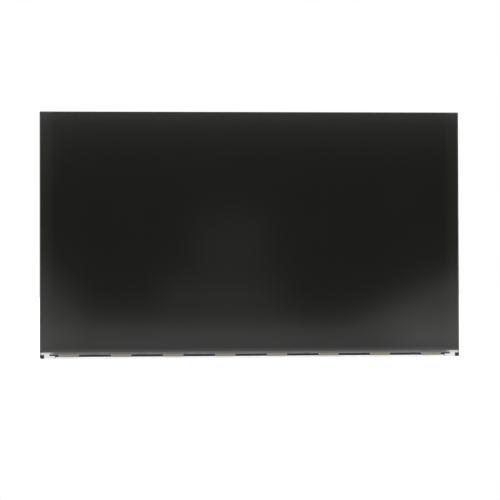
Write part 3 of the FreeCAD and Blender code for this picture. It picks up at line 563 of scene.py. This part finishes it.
def soldered(name, colour, rows):
    """Small ceramic parts that stand in rows across the board, with tinned upper and lower ends."""
    shade = Shade(name, roughness=0.40)
    cloud = shade.noise(SMALL_PART_CLOUD)
    body = shade.blend(cloud, *spread(colour, darker=0.85, paler=1.15))
    tin = shade.blend(cloud, *SOLDERED_TONES)
    ceramic = 0.0
    for middle, half in rows:
        off_middle = shade.size(shade.maths("SUBTRACT", shade.axes["Z"], middle))
        ceramic = shade.maths("MAXIMUM", shade.maths("LESS_THAN", off_middle, half), ceramic)
    shade.colour(shade.blend(ceramic, tin, body))
    shade.feed(shade.shader.inputs["Metallic"], shade.range(ceramic, TINNED_METALLIC, 0.0))
    shade.roughness(cloud, low=0.30, high=0.48)
    shade.bump(cloud, SMALL_PART_DEPTH)
    return shade.material


def capacitor_tan():
    low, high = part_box("board_capacitors")
    half = (high.z - low.z) / 2
    return soldered("capacitor_tan", CAPACITOR_TONE, [(low.z + half, half - SOLDERED_END)])


def resistor_black():
    """The resistors stand in two rows, as tall as the capacitors beside the lower one."""
    low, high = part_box("board_resistors")
    lower_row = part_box("board_capacitors")
    half = (lower_row[1].z - lower_row[0].z) / 2
    rows = [(low.z + half, half - SOLDERED_END), (high.z - half, half - SOLDERED_END)]
    return soldered("resistor_black", RESISTOR_TONE, rows)


def chip_black():
    """Moulded chips, those on the board with a small round mark in one corner."""
    shade = Shade("chip_black", roughness=0.40)
    cloud = shade.noise(CHIP_CLOUD, detail=3.0)
    fine = shade.noise(CHIP_GRAIN)
    flat = shade.node("CombineXYZ", {"X": shade.axes["X"], "Z": shade.axes["Z"]}).outputs[0]
    black = shade.blend(cloud, *CHIP_TONES)
    for name in CHIP_SIDES:
        _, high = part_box(name)
        place = (high.x - PIN_MARK_INSET, 0.0, high.z - PIN_MARK_INSET)
        reach = shade.node("VectorMath", {0: flat, 1: place}, operation="DISTANCE").outputs["Value"]
        mark = shade.maths("LESS_THAN", reach, PIN_MARK_RADIUS)
        black = shade.blend(mark, black, PIN_MARK_TONE)
    shade.colour(black)
    shade.roughness(cloud, low=0.34, high=0.50)
    shade.bump(fine, CHIP_GRAIN_DEPTH)
    return shade.material


def tail_amber():
    """Amber film over broad copper tracks, with a plain margin at each side."""
    low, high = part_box("led_flex_tail")
    shade = Shade("tail_amber", roughness=0.30)
    across = shade.maths("SUBTRACT", shade.axes["X"], (low.x + high.x) / 2)
    tracks = shade.step(shade.stripes(across, TAIL_TRACK_PITCH), *TAIL_TRACK_EDGE)
    margin = (high.x - low.x) / 2 - TAIL_MARGIN
    outer, inner = margin + TAIL_MARGIN_SOFTNESS, margin - TAIL_MARGIN_SOFTNESS
    between = shade.step(shade.size(across), outer, inner)
    cloud = shade.noise(TAIL_CLOUD, detail=3.0)
    amber = shade.blend(cloud, *TAIL_TONES)
    shade.colour(shade.blend(shade.maths("MULTIPLY", tracks, between), amber, TAIL_TRACK_TONE))
    shade.roughness(cloud, low=0.24, high=0.36)
    shade.bump(tracks, TAIL_TRACK_DEPTH)
    return shade.material


def dress(material, *names):
    for name in names:
        nodes[name].material_slots[0].material = material


def dress_all():
    """Give each node its material. The plain ones are made here from a colour and a roughness."""
    films = [name for name in nodes if name.startswith("driver_film")]
    chips = [name for name in nodes if name.startswith("driver_chip")]
    tapes = [name for name in nodes if name.startswith("panel_tape")]
    socket_cream = moulded("socket_cream", (0.66, 0.62, 0.52), 0.45)
    contact_gold = brushed_metal("contact_gold", (0.83, 0.63, 0.28), 0.28)
    sheet_white = moulded("sheet_white", (0.78, 0.79, 0.80), 0.45, variation=0.03)
    dress(screen_film(), "front_polarizer")
    dress(panel_glass(), "colour_filter_glass", "array_glass")
    dress(moulded("rear_film", (0.012, 0.012, 0.013), 0.30), "rear_polarizer")
    dress(moulded("frame_black", (0.010, 0.010, 0.0105), 0.48, IOR=1.40), "mould_frame")
    dress(clip_white(), "corner_clip_left", "corner_clip_right")
    dress(sheet_white, "upper_diffuser", "prism_sheet", "lower_diffuser", "reflector")
    dress(moulded("guide_clear", (0.72, 0.76, 0.77), 0.15, variation=0.03), "light_guide")
    dress(moulded("lamp_board_white", (0.74, 0.74, 0.70), 0.40, variation=0.04), "led_board")
    dress(moulded("thermal_tape_grey", (0.30, 0.30, 0.31), 0.70), "led_thermal_tape")
    dress(moulded("lamp_yellow", (0.75, 0.58, 0.10), 0.30), "led_chips")
    dress(tail_amber(), "led_flex_tail")
    dress(chassis_steel(), "rear_chassis")
    dress(board_green(), "source_board")
    dress(moulded("insulator_black", (0.022, 0.022, 0.024), 0.36), "board_insulator")
    dress(brushed_metal("screw_steel", (0.58, 0.57, 0.55), 0.30), "board_screws")
    dress(driver_film(), *films)
    dress(chip_black(), *CHIP_SIDES, *chips)
    dress(moulded("coil_grey", (0.12, 0.12, 0.125), 0.50), "power_inductor")
    dress(capacitor_tan(), "board_capacitors")
    dress(resistor_black(), "board_resistors")
    dress(moulded("tape_black", (0.020, 0.020, 0.022), 0.55), *tapes)
    dress(socket_cream, "signal_socket_body", "led_socket_body")
    dress(contact_gold, "signal_socket_pins", "led_socket_pins")
    dress(brushed_metal("shell_steel", (0.64, 0.63, 0.60), 0.26), "signal_socket_shell")


def solids_of(name):
    """The lowest and highest corner of each separate solid of a node, found by walking along edges."""
    mesh = bmesh.new()
    mesh.from_mesh(nodes[name].data)
    bmesh.ops.remove_doubles(mesh, verts=mesh.verts, dist=WELD_DISTANCE)
    seen = set()
    boxes = []
    for first in mesh.verts:
        island = [first] if first not in seen else []
        for vertex in island:
            seen.add(vertex)
            joined = [edge.other_vert(vertex) for edge in vertex.link_edges]
            island += [other for other in joined if other not in seen]
        if island:
            spans = list(zip(*(vertex.co for vertex in island)))
            boxes.append((Vector(map(min, spans)), Vector(map(max, spans))))
    mesh.free()
    return boxes


def add_strip(mesh, outline, start, out, width):
    """Add a strip that reaches out from start along the board, with a side of (reach, height) points."""
    across = out.cross(OFF_BOARD) * (width / 2)
    seat = start + (out + OFF_BOARD) * LEAD_CLEARANCE
    near, far = (
        [mesh.verts.new(seat + side + out * reach + OFF_BOARD * height) for reach, height in outline]
        for side in (-across, across)
    )
    mesh.faces.new(near)
    mesh.faces.new(far)
    for index in range(len(outline)):
        mesh.faces.new((near[index - 1], near[index], far[index], far[index - 1]))


def bent_lead(height):
    """Side outline of a lead that leaves a part at that height and steps down to the board."""
    under = LEAD_THICKNESS / 2
    return [
        (0.0, height),
        (LEAD_SHOULDER, height),
        (LEAD_HEEL, LEAD_THICKNESS),
        (LEAD_REACH, LEAD_THICKNESS),
        (LEAD_REACH, 0.0),
        (LEAD_HEEL - under, 0.0),
        (LEAD_SHOULDER - under, height - LEAD_THICKNESS),
        (0.0, height - LEAD_THICKNESS),
    ]


def solder_fillet():
    """Side outline of the hollow slope of solder at the end of a small part."""
    hollow = [(SOLDER_REACH * reach, SOLDER_RISE * rise) for reach, rise in SOLDER_HOLLOW]
    return [(0.0, 0.0), (0.0, SOLDER_RISE), *hollow, (SOLDER_REACH, 0.0)]


def add_chip_leads(mesh, name):
    """Add leads at an even pitch, counted from the middle of each side that has them."""
    low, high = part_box(name)
    outline = bent_lead((high.y - low.y) / 2)
    for across in CHIP_SIDES[name]:
        along = 2 - across
        each_way = int(((high[along] - low[along]) / 2 - LEAD_CORNER) / LEAD_PITCH)
        for side, edge in ((-1, low[across]), (1, high[across])):
            out = Vector((0.0, 0.0, 0.0))
            out[across] = side
            for place in range(-each_way, each_way + 1):
                start = low.copy()
                start[across] = edge
                start[along] = (low[along] + high[along]) / 2 + place * LEAD_PITCH
                add_strip(mesh, outline, start, out, LEAD_WIDTH)


def add_coil_terminals(mesh):
    low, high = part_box("power_inductor")
    outline = bent_lead((high.y - low.y) / 2)
    for side, edge in ((-1, low.x), (1, high.x)):
        start = Vector((edge, low.y, (low.z + high.z) / 2))
        add_strip(mesh, outline, start, Vector((side, 0.0, 0.0)), COIL_TERMINAL_WIDTH)


def add_socket_tails(mesh, socket):
    seat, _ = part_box(f"{socket}_body")
    down = Vector((0.0, 0.0, -1.0))
    for low, high in solids_of(f"{socket}_pins"):
        start = Vector(((low.x + high.x) / 2, seat.y, seat.z))
        add_strip(mesh, bent_lead(SOCKET_TAIL_RISE), start, down, SOCKET_TAIL_WIDTH)


def add_solder(mesh, name):
    for low, high in solids_of(name):
        for side, edge in ((-1, low.z), (1, high.z)):
            start = Vector(((low.x + high.x) / 2, low.y, edge))
            add_strip(mesh, solder_fillet(), start, Vector((0.0, 0.0, side)), high.x - low.x)


def finish_piece(name, mesh, material):
    """Make the mesh a piece of the part, with a material, attached to the root body."""
    bmesh.ops.recalc_face_normals(mesh, faces=mesh.faces)
    data = bpy.data.meshes.new(name)
    mesh.to_mesh(data)
    mesh.free()
    data.materials.append(material)
    piece = bpy.data.objects.new(name, data)
    bpy.context.scene.collection.objects.link(piece)
    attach(piece, "root")


def make_leads():
    """Chip leads, coil terminals and socket tails."""
    mesh = bmesh.new()
    for name in CHIP_SIDES:
        add_chip_leads(mesh, name)
    add_coil_terminals(mesh)
    for socket in ("signal_socket", "led_socket"):
        add_socket_tails(mesh, socket)
    lead_tin = brushed_metal("lead_tin", LAND_TONE, 0.34)
    finish_piece("board_leads", mesh, lead_tin)


def make_solder():
    """Solder at the ends of the capacitors and resistors."""
    mesh = bmesh.new()
    for name in ("board_capacitors", "board_resistors"):
        add_solder(mesh, name)
    solder_grey = brushed_metal("solder_grey", (0.58, 0.58, 0.56), 0.28)
    finish_piece("board_solder", mesh, solder_grey)


def make_camera():
    """A camera that looks along +Y, then is turned by the photograph's yaw, pitch and roll."""
    data = bpy.data.cameras.new("camera")
    data.lens = LENS_MM
    data.sensor_width = SENSOR_MM
    data.sensor_fit = "HORIZONTAL"
    camera = bpy.data.objects.new("camera", data)
    yaw = Matrix.Rotation(CAMERA_YAW, 4, "Z")
    pitch = Matrix.Rotation(math.pi / 2 + CAMERA_PITCH, 4, "X")
    roll = Matrix.Rotation(CAMERA_ROLL, 4, "Z")
    camera.matrix_world = Matrix.Translation(CAMERA_PLACE) @ (yaw @ pitch) @ roll
    bpy.context.scene.collection.objects.link(camera)
    bpy.context.scene.camera = camera


def make_world():
    """A surround that the camera sees as white, but that lights the part dimly from low down."""
    world = bpy.data.worlds.new("studio")
    world.use_nodes = True
    bpy.context.scene.world = world
    graph = Graph(world.node_tree, "Generated")
    front = graph.step(graph.axes["Z"], GLOW_STARTS, GLOW_FULL, ROOM_DARK, ROOM_SKY)
    back = graph.step(graph.axes["Z"], 0.0, BACK_GLOW_FULL, BACK_DIM, ROOM_SKY)
    behind = graph.step(graph.axes["Y"], -TURN_TO_BACK, TURN_TO_BACK)
    light = graph.mix(behind, front, back)
    seen = graph.node("LightPath").outputs["Is Camera Ray"]
    background = graph.tree.nodes["Background"]
    background.inputs["Color"].default_value = (1.0, 1.0, 1.0, 1.0)
    graph.feed(background.inputs["Strength"], graph.mix(seen, light, 1.0))


def make_floor():
    """A pale floor that glows a little, at the foot of the part."""
    level = cad_box[0].z
    corners = [
        (-FLOOR_HALF_WIDTH, FLOOR_FRONT, level),
        (FLOOR_HALF_WIDTH, FLOOR_FRONT, level),
        (FLOOR_HALF_WIDTH, FLOOR_BACK, level),
        (-FLOOR_HALF_WIDTH, FLOOR_BACK, level),
    ]
    mesh = bpy.data.meshes.new("floor")
    mesh.from_pydata(corners, [], [(0, 1, 2, 3)])
    glow = {"Emission Color": (1.0, 1.0, 1.0, 1.0), "Emission Strength": FLOOR_GLOW}
    pale = moulded("floor_pale", FLOOR_TONE, 0.8, grain=FLOOR_GRAIN, variation=0.01, **glow)
    mesh.materials.append(pale)
    floor = bpy.data.objects.new("floor", mesh)
    bpy.context.scene.collection.objects.link(floor)


def softbox(name, place, aim, width, height, radiance, roll=0.0):
    """A rectangular light that the camera sees only in reflections."""
    data = bpy.data.lights.new(name, "AREA")
    data.shape = "RECTANGLE"
    data.size = width
    data.size_y = height
    data.energy = radiance * math.pi * width * height
    lamp = bpy.data.objects.new(name, data)
    lamp.location = place
    lamp.rotation_mode = "QUATERNION"
    facing = (Vector(aim) - Vector(place)).to_track_quat("-Z", "Y")
    lamp.rotation_quaternion = facing @ Quaternion((0.0, 0.0, 1.0), roll)
    lamp.visible_camera = False
    bpy.context.scene.collection.objects.link(lamp)
    return lamp


def soften(lamp, margins):
    """Fade a softbox out over these shares of its width and height at each edge."""
    lamp.data.use_nodes = True
    graph = Graph(lamp.data.node_tree, "Parametric", "NewGeometry")
    strength = 1.0
    for axis, margin in zip("XY", margins):
        off_middle = graph.size(graph.maths("SUBTRACT", graph.axes[axis], 0.5))
        strength = graph.maths("MULTIPLY", graph.step(off_middle, 0.5, 0.5 - margin), strength)
    graph.feed(graph.tree.nodes["Emission"].inputs["Strength"], strength)


def overhead(name, depth, radiance):
    """A softbox that looks straight down at that depth behind the origin."""
    width, length = OVERHEAD_SIZE
    softbox(name, (0.0, depth, OVERHEAD_HEIGHT), (0.0, depth, 0.0), width, length, radiance)


def standing_strip(name, ends, distance, foot, height, radiance):
    """An upright softbox that faces the screen from that distance."""
    left, right = ends
    middle = foot + height / 2
    place = ((left + right) / 2, -distance, middle)
    softbox(name, place, (place[0], 0.0, middle), right - left, height, radiance)


def side_glow(name, start, end, radiance):
    """A softbox that faces the screen, to the right of a line between two (x, z) points."""
    run = Vector(end) - Vector(start)
    inward = Vector((run.y, -run.x)).normalized()
    middle = (Vector(start) + Vector(end)) / 2 + inward * SIDE_GLOW_DEPTH / 2
    place = (middle.x, -SIDE_GLOW_DISTANCE, middle.y)
    aim = (middle.x, 0.0, middle.y)
    slant = math.atan2(run.y, run.x)
    softbox(name, place, aim, run.length, SIDE_GLOW_DEPTH, radiance, slant)


def foot_glow(name, ends, floor, height, radiance):
    """A soft glow that faces the foot of the screen, strongest along the floor."""
    left, right = ends
    place = ((left + right) / 2, -FOOT_GLOW_DISTANCE, floor)
    lamp = softbox(name, place, (place[0], 0.0, floor), right - left, 2 * height, radiance)
    soften(lamp, FOOT_GLOW_FADE)


def make_lights():
    """Overhead boxes for the floor, and the strips, glows and card that the screen mirrors."""
    floor = cad_box[0].z
    overhead("overhead_front", depth=-0.55, radiance=1.95)
    overhead("overhead_back", depth=0.85, radiance=1.4)
    softbox("strip_top", place=(0.0, -1.5, 0.50), aim=(0.0, 0.0, 0.15),
            width=2.4, height=0.2, radiance=1.7)
    standing_strip("glow_top_left", ends=(-0.62, -0.375), distance=SIDE_GLOW_DISTANCE,
                   foot=0.12, height=0.20, radiance=0.48)
    side_glow("glow_left", start=(-0.502, 0.072), end=(-0.249, -0.197), radiance=1.04)
    side_glow("glow_right", start=(0.226, -0.160), end=(0.557, -0.014), radiance=1.38)
    foot_glow("foot_left", ends=(-0.81, -0.21), floor=floor, height=0.075, radiance=0.58)
    foot_glow("foot_middle", ends=(-0.29, 0.10), floor=floor, height=0.09, radiance=0.20)
    foot_glow("foot_right", ends=(0.17, 0.77), floor=floor, height=0.07, radiance=0.80)
    standing_strip("strip_middle", ends=(-0.18, 0.115), distance=1.25,
                   foot=floor, height=0.066, radiance=0.85)
    standing_strip("card", ends=(-0.10, 0.10), distance=1.5,
                   foot=-0.055, height=0.15, radiance=0.5)


dress_all()
make_leads()
make_solder()
make_floor()
make_world()
make_lights()
make_camera()
bpy.context.scene.view_settings.view_transform = "Standard"
